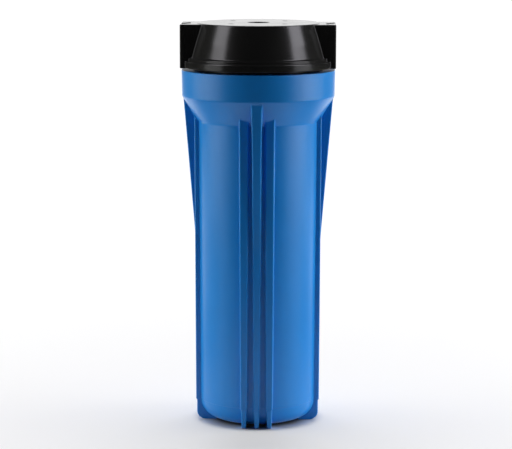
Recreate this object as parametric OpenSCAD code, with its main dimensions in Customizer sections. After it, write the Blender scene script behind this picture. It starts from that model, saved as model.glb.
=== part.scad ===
// Cartridge filter housing: a moulded cap with two ports, and a ribbed bowl that screws up
// into it around a pleated cartridge. Z is up and the bowl's feet stand on z = 0. The origin
// is on the axis, the inlet port points along -X and the outlet port along +X.

/* [Overall] */
// Height from the feet to the top of the cap
total_h = 305; // [303:0.5:307]
// Diameter of the bowl's collar
collar_d = 116.5; // [116:0.1:118]

/* [Bowl] */
// Outer diameter of the tube just below the cone
tube_top_d = 92.6; // [92:0.1:93.2]
// Outer diameter of the tube at the foot band
tube_bottom_d = 89.8; // [89:0.1:90.6]
// Height of the collar's cylindrical wall
collar_wall_h = 20; // [19:0.1:20.6]
// Height of the cone between the tube and the collar
cone_h = 18.6; // [17:0.1:20]
// Distance between neighbouring ribs of a group
rib_pitch = 9.6; // [9:0.05:10]
// Distance from the axis to a rib's crest just above the foot band
rib_crest_r = 47.3; // [47:0.1:47.8]

/* [Cap] */
// Span of the two port ears, from port face to port face
ear_span = 117.1; // [116.1:0.1:118.1]
// Width of the port ears from front to back
ear_w = 41.4; // [39:0.2:44]
// Diameter of the threaded wall of a port
port_d = 24.4; // [22:0.2:25]
// Depth of the threaded wall of a port
port_depth = 15; // [13:0.5:15]
// Distance between neighbouring screw holes on top, the same both ways
screw_spacing = 40; // [38:0.5:42]
// Diameter of a screw hole
screw_d = 4.2; // [3.5:0.1:4.6]
// Diameter of the well that the relief button sits in
well_d = 16; // [15:0.2:17]

/* [Thread] */
// Height that one turn of the bowl lowers it
thread_lead = 5; // [4.8:0.1:5.2]
// Turns that each thread winds round the axis
thread_turns = 2; // [1.5:0.25:2.25]

/* [Cartridge] */
// Outer diameter of the cartridge
cartridge_d = 63.5; // [62:0.5:64]
// Number of pleats in the filter medium
pleat_count = 36; // [24:1:44]

/* [Hidden] */
$fn = 96;
cut = 1; // how far a cutter runs past the face that it opens

// Levels, from the floor up
base_z = 1.4;
floor_z = 5.4;
band_z = 16.2;
rim_z = total_h - 35.4;
collar_z = rim_z - collar_wall_h;
cone_z = collar_z - cone_h;
ledge_z = rim_z - 18.4;
flange_z = rim_z + 2;
ear_top_z = total_h - 0.5;
port_z = (flange_z + ear_top_z) / 2;

// Bowl
collar_r = collar_d / 2;
tube_top_r = tube_top_d / 2;
tube_bottom_r = tube_bottom_d / 2;
band_r = tube_bottom_r - 0.3;
corner_r = band_z - base_z;
corner_x = band_r - corner_r;
bore_top_r = 41;
bore_bottom_r = 40.2;
groove_in_r = 42.4;
groove_out_r = 46.5;
groove_z = ledge_z - 2.7;
flare_z = 139.5;
flare_top_r = 56.85;
foot_in_r = 32;
foot_round_r = 6.5;
foot_r = rib_crest_r - 0.7;
foot_half_w = [1.55, 2.1];
rib_groups = 4;
rib_draft = 0.0037; // crest radius gained per mm of height
mid_rib_half_w = [2.45, 4.1];
side_rib_half_w = [2.5, 3.6];

// Thread: a ridge of the same section on each side, half a lead apart
male_root_r = 46.6;
male_crest_r = 48.9;
female_root_r = 49.2;
female_crest_r = 46.95;
ridge_root_half = 1.5;
ridge_crest_half = 0.7;
ridge_embed = 1;
ridge_steps = 40;
ridge_flat = 1 / cos(180 / ridge_steps); // corner radius over flat radius
male_start_z = ledge_z + 2.7;

// Cap
skirt_z = ledge_z + 0.3;
skirt_in_r = 41.6;
neck_r = 49.2;
flange_r = 58.1;
cone_foot_r = 53;
cone_head_r = 47;
disc_r = 46.2;
port_r = port_d / 2;
inlet_r = 9.5;
outlet_r = 7;
outlet_wall = 3;
outlet_z = total_h - 19;
ceiling_z = total_h - 4.2;
hub_in_r = 10.4;
hub_out_r = 13.6;
spigot_r = 12.4;
knife_r = 15.7;
boss_r = 5.2;
boss_z = total_h - 18;
screw_z = total_h - 15;
well_r = well_d / 2;
well_z = total_h - 8.5;
well_floor_t = 3;
valve_z = well_z - well_floor_t;
stem_hole_r = 2.3;
mark_l = 6.4;
mark_w = 18;

// Relief valve
stem_r = 1.9;
button_r = 6.6;
button_top_z = total_h - 1.6;
button_skirt_z = well_z + 3.5;
button_pocket_z = well_z + 5.3;
button_pocket_r = 5.4;
spring_r = 3.6;
spring_wire_d = 0.7;
spring_turns = 3.5;
seal_wire_r = 0.88;
washer_z = valve_z - 2 * seal_wire_r - 0.84;
nut_h = 2.9;

// Main seal, squeezed between the skirt and its groove
o_ring_h = skirt_z - groove_z;
o_ring_in_r = groove_in_r + 0.05;
o_ring_out_r = groove_out_r - 0.1;

// Cartridge
cartridge_z = 9;
cartridge_top_z = ledge_z + 5.2;
cartridge_r = cartridge_d / 2;
gasket_t = 2.5;
gasket_in_r = 13.2;
gasket_out_r = 20;
end_cap_t = 3;
end_cap_lip = 7;
end_cap_wall = 1.4;
end_cap_in_r = 13;
media_z = cartridge_z + gasket_t + end_cap_t;
media_top_z = cartridge_top_z - gasket_t - end_cap_t;
media_h = media_top_z - media_z;
cage_out_r = cartridge_r - end_cap_wall - 0.1;
cage_in_r = cage_out_r - 1.4;
core_out_r = 15.6;
core_in_r = 13.6;
pleat_out_r = cage_in_r - 0.3;
pleat_in_r = core_out_r + 0.3;
pleat_shift = 2.8;
knife_gap = 0.1; // clearance between a knife edge's tip and its gasket

// Points on a circle of radius r round centre, from angle a to angle b
function arc(centre, r, a, b, steps = 8) =
    [for (i = [0:steps])
        let (t = a + (b - a) * i / steps)
        centre + r * [cos(t), sin(t)]];

// Linear value between two ends
function mix(a, b, t) = a + (b - a) * t;

// List in the opposite order
function reverse(list) = [for (i = [len(list) - 1:-1:0]) list[i]];

// Faces of a wire: its first ring, triangles from each ring to the next, and its last ring
function tube_faces(rings, sides) = concat(
    [[for (j = [sides - 1:-1:0]) j]],
    [for (i = [0:rings - 2], j = [0:sides - 1], half = [0, 1])
        let (a = i * sides + j, b = i * sides + (j + 1) % sides)
        half == 0 ? [a, b, b + sides] : [a, b + sides, a + sides]],
    [[for (j = [0:sides - 1]) (rings - 1) * sides + j]]
);

module revolve(points) {
    rotate_extrude() polygon(points);
}

// Right-handed thread ridge from its root radius to its crest radius, starting at height z
module thread_ridge(root_r, crest_r, z) {
    out = sign(crest_r - root_r);
    slope = (ridge_root_half - ridge_crest_half) / abs(crest_r - root_r);
    deep_r = root_r - out * ridge_embed;
    deep_half = ridge_root_half + slope * ridge_embed;
    section = [
        [deep_r, -deep_half], [crest_r, -ridge_crest_half],
        [crest_r, ridge_crest_half], [deep_r, deep_half]
    ];
    rings = ridge_steps * thread_turns;
    points = [for (i = [0:rings], p = section)
        let (turn = i / ridge_steps)
        [p[0] * cos(360 * turn), p[0] * sin(360 * turn), z + p[1] + thread_lead * turn]];
    faces = tube_faces(rings + 1, len(section));
    // A ridge that points inwards has its section the other way round
    polyhedron(points, out > 0 ? faces : [for (f = faces) reverse(f)]);
}

module rounded_rect(w, d, r) {
    square([w - 2 * r, d], center = true);
    square([w, d - 2 * r], center = true);
    for (x = [-1, 1], y = [-1, 1])
        translate([x * (w / 2 - r), y * (d / 2 - r)]) circle(r);
}

// ---- Cap ----

module cap_shell() {
    // Cone, top disc, flange, neck and skirt as one solid of revolution
    revolve(concat(
        [[0, skirt_z], [male_root_r - 0.8, skirt_z], [male_root_r, skirt_z + 0.8],
         [male_root_r, rim_z + 0.2], [neck_r, rim_z + 0.2], [neck_r, flange_z],
         [flange_r - 0.5, flange_z], [flange_r, flange_z + 0.5]],
        arc([flange_r - 2, flange_z + 3.6], 2, 0, 90, 6),
        [[cone_foot_r + 2.3, flange_z + 5.6], [cone_foot_r + 2.3, flange_z + 7.6],
         [cone_foot_r, flange_z + 8], [cone_head_r, total_h - 1.6],
         [disc_r, total_h], [0, total_h]]
    ));
    translate([0, 0, flange_z])
        linear_extrude(ear_top_z - flange_z) rounded_rect(ear_span, ear_w, 1.2);
}

module cap_chamber() {
    // Dirty water space between the skirt and the hub, open downwards
    difference() {
        translate([0, 0, skirt_z - cut])
            cylinder(r1 = skirt_in_r, r2 = skirt_in_r - 0.6, h = ceiling_z - skirt_z + cut);
        // Hub with its spigot and knife edge
        revolve([
            [0, skirt_z + 1.1], [spigot_r, skirt_z + 1.1],
            [spigot_r, cartridge_top_z + 3], [knife_r - 0.7, cartridge_top_z + 3],
            [knife_r - 0.2, cartridge_top_z + knife_gap],
            [knife_r + 0.2, cartridge_top_z + knife_gap],
            [knife_r + 1.3, cartridge_top_z + 4], [knife_r + 1.3, cartridge_top_z + 7],
            [hub_out_r, cartridge_top_z + 11], [hub_out_r, ceiling_z + cut],
            [0, ceiling_z + cut]
        ]);
        // Outlet pipe from the hub to the ear
        translate([0, 0, outlet_z]) rotate([0, 90, 0])
            cylinder(r = outlet_r + outlet_wall, h = skirt_in_r + cut);
        // Bosses round the screw holes
        for (x = [-1, 1], y = [-1, 1])
            translate([x * screw_spacing / 2, y * screw_spacing / 2, boss_z])
                cylinder(r = boss_r, h = ceiling_z - boss_z + cut, $fn = 48);
    }
}

module flow_mark() {
    // Raised arrowhead, pointing the way the water runs
    linear_extrude(0.5)
        polygon([[-mark_l / 2, -mark_w / 2], [mark_l / 2, 0], [-mark_l / 2, mark_w / 2]]);
}

module cap() {
    port_x = ear_span / 2 - port_depth;
    color([0.03, 0.03, 0.035]) {
        difference() {
            union() {
                cap_shell();
                thread_ridge(male_root_r, male_crest_r, male_start_z);
            }
            cap_chamber();
            // Ports, and the ducts behind them
            for (side = [-1, 1])
                translate([side * port_x, 0, port_z]) rotate([0, side * 90, 0])
                    cylinder(r = port_r, h = port_depth + cut);
            translate([-port_x - cut, 0, port_z]) rotate([0, 90, 0])
                cylinder(r = inlet_r, h = 7);
            translate([0, 0, outlet_z]) rotate([0, 90, 0])
                cylinder(r = outlet_r, h = port_x + cut);
            // Hub bore, relief well and the stem hole between them
            translate([0, 0, skirt_z]) cylinder(r = hub_in_r, h = valve_z - skirt_z);
            translate([0, 0, valve_z - cut]) cylinder(r = stem_hole_r, h = total_h - valve_z, $fn = 48);
            translate([0, 0, well_z]) cylinder(r = well_r, h = total_h - well_z + cut);
            for (x = [-1, 1], y = [-1, 1])
                translate([x * screw_spacing / 2, y * screw_spacing / 2, screw_z])
                    cylinder(r = screw_d / 2, h = total_h - screw_z + cut, $fn = 48);
        }
        for (side = [-1, 1])
            translate([side * (ear_span / 2 - 4.2), 0, ear_top_z]) flow_mark();
    }
}

// ---- Relief valve ----

module relief_button() {
    color([0.75, 0.06, 0.05]) revolve([
        [0, washer_z - nut_h - 0.4], [stem_r, washer_z - nut_h - 0.4],
        [stem_r, button_pocket_z], [button_pocket_r, button_pocket_z],
        [button_pocket_r, button_skirt_z], [button_r, button_skirt_z],
        [button_r, button_top_z - 0.6], [button_r - 0.6, button_top_z], [0, button_top_z]
    ]);
}

module relief_spring() {
    sides = 8;
    steps = 20;
    rings = steps * spring_turns;
    wire_r = spring_wire_d / 2;
    low_z = well_z + wire_r + 0.02;
    high_z = button_pocket_z - wire_r - 0.02;
    points = [for (i = [0:rings], j = [0:sides - 1])
        let (
            turn = 360 * i / steps,
            r = spring_r + wire_r * cos(360 * j / sides),
            z = mix(low_z, high_z, i / rings) + wire_r * sin(360 * j / sides)
        )
        [r * cos(turn), r * sin(turn), z]];
    color([0.75, 0.76, 0.78]) polyhedron(points, tube_faces(rings + 1, sides));
}

module relief_seal() {
    color([0.05, 0.05, 0.05]) rotate_extrude()
        translate([stem_r + 0.15 + seal_wire_r, valve_z - seal_wire_r])
            circle(seal_wire_r, $fn = 32);
}

module relief_washer() {
    color([0.75, 0.76, 0.78]) revolve([
        [stem_r + 0.1, washer_z], [5, washer_z], [5, washer_z + 0.84], [stem_r + 0.1, washer_z + 0.84]
    ]);
}

module relief_nut() {
    color([0.7, 0.71, 0.72]) translate([0, 0, washer_z - nut_h]) difference() {
        cylinder(r = 4.04, h = nut_h, $fn = 6);
        translate([0, 0, -cut]) cylinder(r = stem_r + 0.02, h = nut_h + 2 * cut);
    }
}

// ---- Bowl ----

module sump_outside() {
    rotate_extrude() {
        translate([corner_x, band_z]) circle(corner_r);
        polygon([
            [0, base_z], [corner_x, base_z], [corner_x, band_z], [band_r, band_z],
            [tube_bottom_r, band_z + 0.1], [tube_top_r, cone_z], [collar_r - 0.5, collar_z],
            [collar_r - 0.3, collar_z + 0.8], [collar_r, rim_z - 0.6],
            [collar_r - 0.6, rim_z], [0, rim_z]
        ]);
    }
}

module sump_inside() {
    corner_in_r = band_z - floor_z;
    corner_in_x = bore_bottom_r - corner_in_r;
    rotate_extrude() {
        translate([corner_in_x, band_z]) circle(corner_in_r);
        polygon([
            [0, floor_z], [corner_in_x, floor_z], [corner_in_x, band_z],
            [bore_bottom_r, band_z], [bore_top_r, ledge_z], [groove_in_r, ledge_z],
            [groove_in_r, groove_z], [groove_out_r, groove_z], [groove_out_r, ledge_z],
            [female_root_r, ledge_z], [female_root_r, rim_z - 0.8],
            [female_root_r + 0.8, rim_z], [female_root_r + 0.8, rim_z + cut], [0, rim_z + cut]
        ]);
    }
}

// Part of a rib that runs out along X, with the given side outline and half widths at its two ends
module rib_part(outline, half_w, low_z, high_z) {
    intersection() {
        rotate([90, 0, 0]) linear_extrude(20, center = true) polygon(outline);
        translate([foot_in_r - 2, 0, 0]) rotate([90, 0, 90]) linear_extrude(40)
            polygon([
                [-half_w[0], low_z], [half_w[0], low_z], [half_w[1], high_z], [-half_w[1], high_z]
            ]);
    }
}

module sump_ribs() {
    function crest(z) = rib_crest_r + rib_draft * (z - band_z);
    foot_top_z = band_z + 0.2;
    foot_outline = concat(
        [[foot_in_r, foot_top_z], [foot_in_r, 0]],
        arc([foot_r - foot_round_r, foot_round_r], foot_round_r, -90, 0),
        [[foot_r, foot_top_z]]
    );
    side_top_z = cone_z + 8;
    side_outline = [
        [foot_in_r, band_z], [crest(band_z), band_z], [crest(side_top_z), side_top_z],
        [foot_in_r, side_top_z]
    ];
    mid_top_z = collar_z + 3;
    mid_outline = [
        [foot_in_r, band_z], [crest(band_z), band_z], [crest(flare_z), flare_z],
        [flare_top_r, collar_z], [flare_top_r, mid_top_z], [foot_in_r, mid_top_z]
    ];
    for (group = [0:rib_groups - 1]) rotate(group * 360 / rib_groups) {
        rib_part(mid_outline, mid_rib_half_w, band_z, mid_top_z);
        for (side = [-1, 1])
            translate([0, side * rib_pitch, 0]) rib_part(side_outline, side_rib_half_w, band_z, side_top_z);
        for (i = [-1:1])
            translate([0, i * rib_pitch, 0]) rib_part(foot_outline, foot_half_w, 0, foot_top_z);
    }
}

module sump() {
    color([0.1, 0.33, 0.62]) {
        difference() {
            union() {
                sump_outside();
                sump_ribs();
            }
            sump_inside();
        }
        thread_ridge(female_root_r, ridge_flat * female_crest_r, male_start_z + thread_lead / 2);
        // Knife edge and centring spigot on the floor
        knife_tip_z = cartridge_z - knife_gap;
        revolve([
            [knife_r - 1.5, floor_z - 1], [knife_r + 1.5, floor_z - 1], [knife_r + 1.2, floor_z + 1],
            [knife_r + 0.2, knife_tip_z], [knife_r - 0.2, knife_tip_z], [knife_r - 1.2, floor_z + 1]
        ]);
        revolve([
            [hub_in_r, floor_z - 1], [spigot_r, floor_z - 1], [spigot_r, cartridge_z + 3.5],
            [spigot_r - 1, cartridge_z + 4.5], [hub_in_r, cartridge_z + 4.5]
        ]);
    }
}

module sump_o_ring() {
    half_h = o_ring_h / 2;
    color([0.05, 0.05, 0.05]) rotate_extrude() translate([0, groove_z + half_h]) {
        for (x = [o_ring_in_r + half_h, o_ring_out_r - half_h])
            translate([x, 0]) circle(half_h, $fn = 48);
        translate([o_ring_in_r + half_h, -half_h])
            square([o_ring_out_r - o_ring_in_r - 2 * half_h, o_ring_h]);
    }
}

// ---- Cartridge ----

module gasket(z) {
    color([0.08, 0.08, 0.08]) revolve([
        [gasket_in_r, z], [gasket_out_r, z], [gasket_out_r, z + gasket_t], [gasket_in_r, z + gasket_t]
    ]);
}

module end_cap() {
    // Cup that holds the ends of the medium, with its flat face on z = 0
    lip_in_r = cartridge_r - end_cap_wall;
    lip_z = end_cap_t + end_cap_lip;
    revolve([
        [end_cap_in_r, 0], [cartridge_r - 0.8, 0], [cartridge_r, 0.8], [cartridge_r, lip_z],
        [lip_in_r, lip_z], [lip_in_r, end_cap_t], [end_cap_in_r, end_cap_t]
    ]);
}

// Tube with rows of windows, standing on the lower end cap
module window_tube(in_r, out_r, per_row, rows, window_w, window_h) {
    row_h = media_h / (rows + 1);
    translate([0, 0, media_z]) difference() {
        cylinder(r = out_r, h = media_h);
        translate([0, 0, -cut]) cylinder(r = in_r, h = media_h + 2 * cut);
        for (row = [1:rows], i = [0:per_row / 2 - 1])
            translate([0, 0, row * row_h]) rotate(i * 360 / per_row)
                cube([2 * out_r + 2 * cut, window_w, window_h], center = true);
    }
}

module cartridge_bottom_gasket() { gasket(cartridge_z); }

module cartridge_top_gasket() { gasket(cartridge_top_z - gasket_t); }

module cartridge_bottom_cap() {
    color([0.9, 0.9, 0.88]) translate([0, 0, cartridge_z + gasket_t]) end_cap();
}

module cartridge_top_cap() {
    color([0.9, 0.9, 0.88]) translate([0, 0, cartridge_top_z - gasket_t]) mirror([0, 0, 1]) end_cap();
}

module cartridge_core() {
    color([0.88, 0.88, 0.86]) window_tube(core_in_r, core_out_r, 8, 15, 5, 9);
}

module cartridge_cage() {
    color([0.88, 0.88, 0.86]) window_tube(cage_in_r, cage_out_r, 12, 12, 11, 14);
}

module cartridge_pleats() {
    // Zigzag wall: outer folds at even steps, inner folds at odd steps
    folds = 2 * pleat_count;
    function zigzag(out_r, in_r) = [for (i = [0:folds - 1])
        let (r = i % 2 == 0 ? out_r : in_r, t = 360 * i / folds)
        r * [cos(t), sin(t)]];
    color([0.93, 0.93, 0.9]) translate([0, 0, media_z]) linear_extrude(media_h) difference() {
        polygon(zigzag(pleat_out_r, pleat_in_r + pleat_shift));
        polygon(zigzag(pleat_out_r - pleat_shift, pleat_in_r));
    }
}

cap();
relief_button();
relief_spring();
relief_seal();
relief_washer();
relief_nut();
sump();
sump_o_ring();
cartridge_top_gasket();
cartridge_top_cap();
cartridge_pleats();
cartridge_core();
cartridge_cage();
cartridge_bottom_cap();
cartridge_bottom_gasket();
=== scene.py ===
import math

import bmesh
import bpy
import numpy as np
from mathutils import Matrix, Vector


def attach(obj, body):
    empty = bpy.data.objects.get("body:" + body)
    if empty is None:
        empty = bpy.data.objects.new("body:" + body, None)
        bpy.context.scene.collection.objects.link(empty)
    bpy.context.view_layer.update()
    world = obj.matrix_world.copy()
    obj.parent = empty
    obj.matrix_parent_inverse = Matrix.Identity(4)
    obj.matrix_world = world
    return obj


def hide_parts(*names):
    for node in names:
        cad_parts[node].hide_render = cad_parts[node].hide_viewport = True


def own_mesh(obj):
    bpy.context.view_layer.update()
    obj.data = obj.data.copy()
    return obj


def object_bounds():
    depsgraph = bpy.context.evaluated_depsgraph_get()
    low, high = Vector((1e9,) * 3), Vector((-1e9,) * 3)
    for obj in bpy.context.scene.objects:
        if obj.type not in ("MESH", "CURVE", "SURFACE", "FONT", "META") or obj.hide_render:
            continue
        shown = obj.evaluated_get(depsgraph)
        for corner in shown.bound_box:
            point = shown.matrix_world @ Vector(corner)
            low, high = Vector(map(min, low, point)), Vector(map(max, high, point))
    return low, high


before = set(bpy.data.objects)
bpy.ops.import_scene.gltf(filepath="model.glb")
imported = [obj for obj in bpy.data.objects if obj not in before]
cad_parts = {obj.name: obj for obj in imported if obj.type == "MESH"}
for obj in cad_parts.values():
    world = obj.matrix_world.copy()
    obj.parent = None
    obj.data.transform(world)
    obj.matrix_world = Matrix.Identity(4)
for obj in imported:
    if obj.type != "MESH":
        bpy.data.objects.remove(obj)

cad_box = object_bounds()
MM = 0.001
TAU = 2 * math.pi
MERGE_M = 2e-6
SHARP_ANGLE = 38

# ---------- levels and radii, in mm

TOP_Z = cad_box[1].z / MM
RIM_Z = TOP_Z - 35.4
COLLAR_Z = RIM_Z - 20
CONE_Z = COLLAR_Z - 18.6
LEDGE_Z = RIM_Z - 18.4
GROOVE_Z = LEDGE_Z - 2.7
FLANGE_Z = RIM_Z + 2
EAR_TOP_Z = TOP_Z - 0.5
PORT_Z = (FLANGE_Z + EAR_TOP_Z) / 2
ROOF_Z = TOP_Z - 4.2
WELL_Z = TOP_Z - 8.5
VALVE_Z = WELL_Z - 3
SKIRT_Z = LEDGE_Z + 0.3
BOWL_FLOOR_Z = 5.4
CARTRIDGE_Z = 9.0
CARTRIDGE_TOP_Z = LEDGE_Z + 5.2
GASKET_H = 2.5
KNIFE_IN_R = 15.5
KNIFE_OUT_R = 15.9
KNIFE_BITE = 0.1
SPIGOT_R = 12.4
SPIGOT_BORE_R = 10.4

# The thread between the cap and the bowl
THREAD_LEAD = 5.0
THREAD_TURNS = 2.0
MALE_START_Z = LEDGE_Z + 2.7
MALE_ROOT_R = 46.6
MALE_CREST_R = 48.9
FEMALE_ROOT_R = 49.2
FEMALE_CREST_R = 46.95
RIDGE_ROOT_HALF = 1.5
RIDGE_CREST_HALF = 0.7
RIDGE_FADE = 0.07  # share of a turn over which a ridge rises at each of its ends
RIDGE_ROWS = (2.5, 1.7, 1.45, 1.25, 0.85, 0.6, 0, -0.6, -0.85, -1.25, -1.45, -1.7)  # over its middle


# ---------- small helpers

def smooth(t):
    """An eased step from 0 to 1."""
    t = np.clip(t, 0, 1)
    return t * t * (3 - 2 * t)


def round_corners(points, radii, steps):
    """A polyline with each corner turned into an arc of its own radius, or a smaller one where the
    sides are too short for it."""
    out = [tuple(points[0])]
    for k in range(1, len(points) - 1):
        p = np.array(points[k], float)
        a = np.array(points[k - 1], float) - p
        b = np.array(points[k + 1], float) - p
        la, lb = np.linalg.norm(a), np.linalg.norm(b)
        a, b = a / la, b / lb
        r = radii[k]
        half = math.acos(float(np.clip(a @ b, -1, 1))) / 2
        if r <= 0 or half > math.pi / 2 - 0.01:
            out.append(tuple(p))
            continue
        cut = min(r / math.tan(half), 0.48 * la, 0.48 * lb)
        r = cut * math.tan(half)
        middle = a + b
        middle /= np.linalg.norm(middle)
        centre = p + middle * (r / math.sin(half))
        start = p + a * cut - centre
        end = p + b * cut - centre
        sweep = math.acos(float(np.clip(start @ end / r / r, -1, 1)))
        for i in range(steps + 1):
            t = i / steps
            v = (math.sin((1 - t) * sweep) * start + math.sin(t * sweep) * end) / math.sin(sweep)
            out.append(tuple(centre + v))
    out.append(tuple(points[-1]))
    return out


def new_object(name, data):
    obj = bpy.data.objects.new(name, data)
    bpy.context.scene.collection.objects.link(obj)
    return obj


def clean(mesh, sharp=SHARP_ANGLE, turn_out=True):
    """Merges doubles, and smooths the mesh with sharp edges where it bends by more than the given angle."""
    bm = bmesh.new()
    bm.from_mesh(mesh)
    bmesh.ops.remove_doubles(bm, verts=bm.verts, dist=MERGE_M)
    bmesh.ops.dissolve_degenerate(bm, edges=bm.edges, dist=MERGE_M)
    if turn_out:
        bmesh.ops.recalc_face_normals(bm, faces=bm.faces)
    limit = math.radians(sharp)
    for f in bm.faces:
        f.smooth = True
    for e in bm.edges:
        e.smooth = len(e.link_faces) == 2 and e.calc_face_angle(0) < limit
    bm.to_mesh(mesh)
    bm.free()


def make_object(name, verts, faces, sharp=SHARP_ANGLE):
    """An object from points in mm and faces."""
    mesh = bpy.data.meshes.new(name)
    mesh.from_pydata([tuple(MM * c for c in v) for v in verts], [], faces)
    clean(mesh, sharp)
    return new_object(name, mesh)


def weigh(obj):
    """Flat faces keep their own direction, so only the rounded edges shade round."""
    m = obj.modifiers.new("weighted", "WEIGHTED_NORMAL")
    m.keep_sharp = True
    return obj


def even_angles(count):
    return np.arange(count) * TAU / count


def circle(radius, z, angles):
    """Points at the given angles; the radius and the height are one number each or one for each point."""
    return np.stack([radius * np.cos(angles), radius * np.sin(angles), np.full(len(angles), z)], 1)


class Shell:
    """Points in mm and faces, built up from rings that have the same number of points each."""

    def __init__(self, count):
        self.count = count
        self.verts = []
        self.faces = []

    def add(self, ring):
        """Stores a ring and returns the index of its first point."""
        first = len(self.verts)
        self.verts.extend(tuple(p) for p in ring)
        return first

    def add_profile(self, profile, angles):
        """Stores a ring for each (radius, height) point of a profile."""
        return [self.add(circle(r, z, angles)) for r, z in profile]

    def strip(self, starts):
        """Quads between successive rings, closed round."""
        for a, b in zip(starts, starts[1:]):
            for i in range(self.count):
                j = (i + 1) % self.count
                self.faces.append((a + i, a + j, b + j, b + i))

    def strip_thread(self, starts, per_lead):
        """Quads between a thread's rows. A row's last point joins the row per_lead further up."""
        for k in range(len(starts) - 1):
            a, b = starts[k], starts[k + 1]
            for i in range(self.count - 1):
                self.faces.append((a + i, a + i + 1, b + i + 1, b + i))
            end = self.count - 1
            up, up_next = starts[max(0, k - per_lead)], starts[max(0, k + 1 - per_lead)]
            self.faces.append((a + end, up, up_next, b + end))

    def build(self, name):
        return make_object(name, self.verts, self.faces)


def lathe(name, profile, count):
    """A ring-shaped body from a closed section of (radius, height) points."""
    shell = Shell(count)
    starts = shell.add_profile(profile, even_angles(count))
    shell.strip(starts + [starts[0]])
    return shell.build(name)


def thread_rows(angles, z_low, z_high, start_z, root_r, crest_r, lead=THREAD_LEAD, turns=THREAD_TURNS,
                scale=1.0):
    """Rows of points that follow a right-handed thread, from the top down. A row's end meets the
    beginning of the row that is as many rows further up as RIDGE_ROWS has heights."""
    top_group = math.ceil((z_high - start_z) / lead + 0.5) + 1
    out = []
    group = 0
    done = False
    while not done:
        for row in RIDGE_ROWS:
            turn = angles / TAU + top_group - group
            z = start_z + lead * turn + row * scale
            ridge = np.clip((RIDGE_ROOT_HALF - abs(row)) / (RIDGE_ROOT_HALF - RIDGE_CREST_HALF), 0, 1)
            fade = smooth(turn / RIDGE_FADE) * smooth((turns - turn) / RIDGE_FADE)
            r = np.where((z > z_low) & (z < z_high), root_r + (crest_r - root_r) * ridge * fade, root_r)
            z = np.clip(z, z_low, z_high)
            out.append(circle(r, z, angles))
            done = bool(np.all(z <= z_low))
        group += 1
    return out


# ---------- bowl

COLLAR_R = 58.25
MOUTH_R = 50.0
GROOVE_OUT_R = 46.5
GROOVE_IN_R = 42.4
BORE_TOP_R = 41
BORE_BOTTOM_R = 40.2
TUBE_TOP_R = 46.3
TUBE_BOTTOM_R = 44.9
BAND_R = 44.6
BAND_Z = 16.2
BASE_Z = 1.4
FLARE_Z = 139.5
FLARE_TOP_R = 56.85
FLARE_BEND = 2

RIB_PITCH = 9.6
RIB_CREST = 47.3
RIB_DRAFT = 0.0037
RIB_STEP = 0.7
RIB_EDGE = 0.9
RIB_FILLET = 0.6
RIB_FILLET_Z = 1.9
RIB_FILLET_RISE = 4
FOOT_ROUND = 6.5
# Half of a rib's width by height
FOOT_HALVES = ((0, 1.55), (BAND_Z, 2.1))
MIDDLE_RIB_HALVES = ((BAND_Z, 2.45), (FLARE_Z, 3.15), (207, 3.4), (COLLAR_Z, 4.1))
SIDE_RIB_HALVES = ((BAND_Z, 2.5), (CONE_Z + 8, 3.6))

# Heights of the rings up the rounded corner under the band, closest where it turns fastest
CORNER_LEVELS = (1.845, 2.2, 2.7, 3.3, 4, 4.8, 5.7, 6.6, 7.6, 8.8, 10, 11.4, 12.8, 14.2, 15.3)
# Heights of the rings where the middle ribs begin to flare
FLARE_LEVELS = (134, 136, 137.5, 139, 140.5, 142, 144)
# Heights of a foot's rings, and how far its outline is drawn in there
FOOT_LEVELS = ((1.2, 0), (0.5, 0), (0.13, 0.13), (0.0, 0.4))
SIDE_STEPS = 5

# A ring of the bowl is four quarters, each with two plain arcs and three ribs
ARC_POINTS = 14
CREST_INNER = 3
FILLET_POINTS = 4
RIB_POINTS = 4 * FILLET_POINTS + CREST_INNER
RIB_STARTS = [ARC_POINTS, ARC_POINTS + RIB_POINTS + 1, ARC_POINTS + 2 * (RIB_POINTS + 1)]
QUARTER = 2 * ARC_POINTS - 1 + 3 * RIB_POINTS + 2
RING = 4 * QUARTER


def bowl_profile():
    """Radius by height of the bowl's outside between its ribs: the corner under the band, and the
    rest up to the rim. It ends with the rim's rounding."""
    corner_r = BAND_Z - BASE_Z
    corner_x = BAND_R - corner_r
    corner = [(corner_x + math.sqrt(corner_r ** 2 - (BAND_Z - z) ** 2), z) for z in CORNER_LEVELS]
    side = round_corners([
        (BAND_R, BAND_Z), (TUBE_BOTTOM_R, BAND_Z + 0.25), (TUBE_TOP_R, CONE_Z), (COLLAR_R - 0.4, COLLAR_Z),
        (COLLAR_R - 0.2, RIM_Z - 8), (COLLAR_R, RIM_Z - 0.01), (COLLAR_R - 0.9, RIM_Z)
    ], [0, 0.1, 3, 3, 0, 0.7, 0], SIDE_STEPS)
    return corner, side


def rib_half(z, middle):
    """Half of a rib's width. Its foot is narrower than the part above the band."""
    if z < BAND_Z - 0.01:
        table = FOOT_HALVES
    else:
        table = MIDDLE_RIB_HALVES if middle else SIDE_RIB_HALVES
    return float(np.interp(z, *zip(*table)))


def rib_crest(z, middle):
    """Distance from the axis to a rib's crest: its foot is rounded, and a middle rib flares out."""
    if z < BAND_Z - 0.01:
        crest = RIB_CREST - RIB_STEP
        if z < FOOT_ROUND:
            crest -= FOOT_ROUND - math.sqrt(FOOT_ROUND ** 2 - (FOOT_ROUND - z) ** 2)
        return crest
    crest = RIB_CREST + RIB_DRAFT * (z - BAND_Z)
    if middle:
        bend = (z - FLARE_Z) / FLARE_BEND
        rise = FLARE_BEND * (math.log1p(math.exp(bend)) if bend < 30 else bend)
        flare_r = RIB_CREST + RIB_DRAFT * (FLARE_Z - BAND_Z)
        crest += rise * ((FLARE_TOP_R - flare_r) / (COLLAR_Z - FLARE_Z) - RIB_DRAFT)
    return crest


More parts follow.
